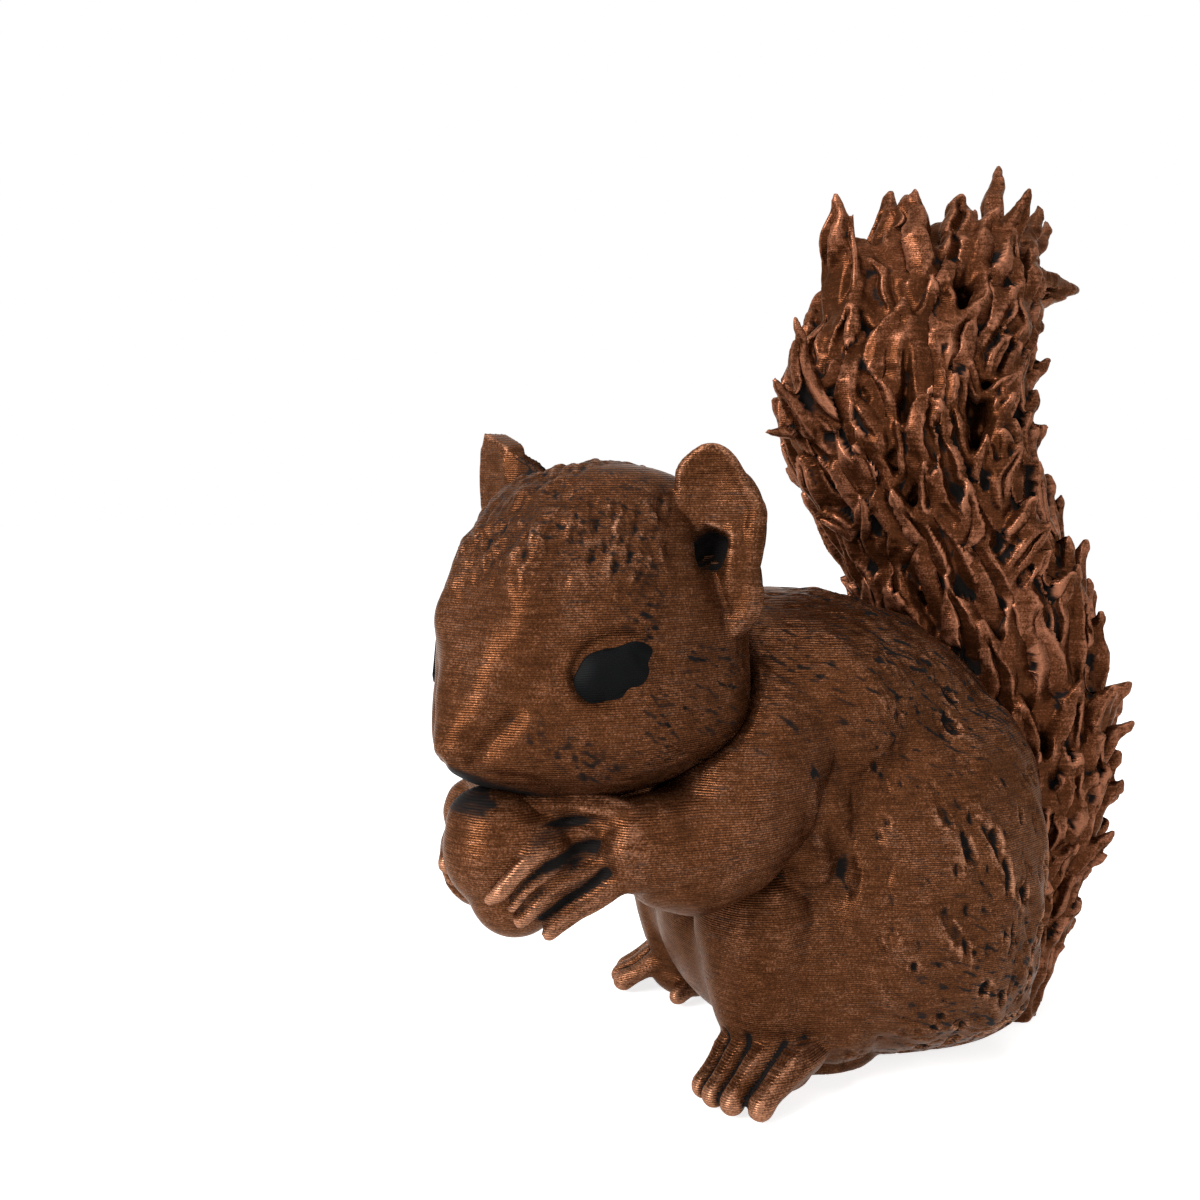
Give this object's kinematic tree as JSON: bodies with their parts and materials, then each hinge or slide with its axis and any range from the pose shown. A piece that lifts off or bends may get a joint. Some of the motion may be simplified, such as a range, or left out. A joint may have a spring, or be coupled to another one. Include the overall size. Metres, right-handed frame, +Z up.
{
  "type": "animal figurine",
  "caption": "Crouching squirrel-like animal figurine, head turned aside, holding a nut to its mouth, with a tall tail of hollow flame-like locks; an ornament that stands on its flat underside.",
  "frame": {"origin": "on the ground under the middle of the body, on the flat underside", "axes": "+Z up, -Y the way the body faces, +X the animal's left; the head is turned towards its left"},
  "size_m": [0.0442, 0.0809, 0.0926],
  "materials": {
    "bronze_fur": "satin bronze paint over black, worn black in the fur strokes and creases, with fine level layer lines",
    "bronze_skin": "satin bronze paint, black in the grooves between the digits and in the ears",
    "bronze_nut": "smooth satin bronze paint with fine level layer lines",
    "bronze_tail": "satin bronze paint on the rims of the locks, black in their hollows",
    "black_eye": "matte black"
  },
  "bodies": {
    "root": {"torso": "bronze_fur", "head": "bronze_fur", "left_arm": "bronze_fur", "right_arm": "bronze_fur", "left_haunch": "bronze_fur", "right_haunch": "bronze_fur", "left_ear": "bronze_skin", "right_ear": "bronze_skin", "left_hand": "bronze_skin", "right_hand": "bronze_skin", "left_foot": "bronze_skin", "right_foot": "bronze_skin", "nut": "bronze_nut", "tail": "bronze_tail", "left_eye": "black_eye", "right_eye": "black_eye"}
  },
  "joints": []
}
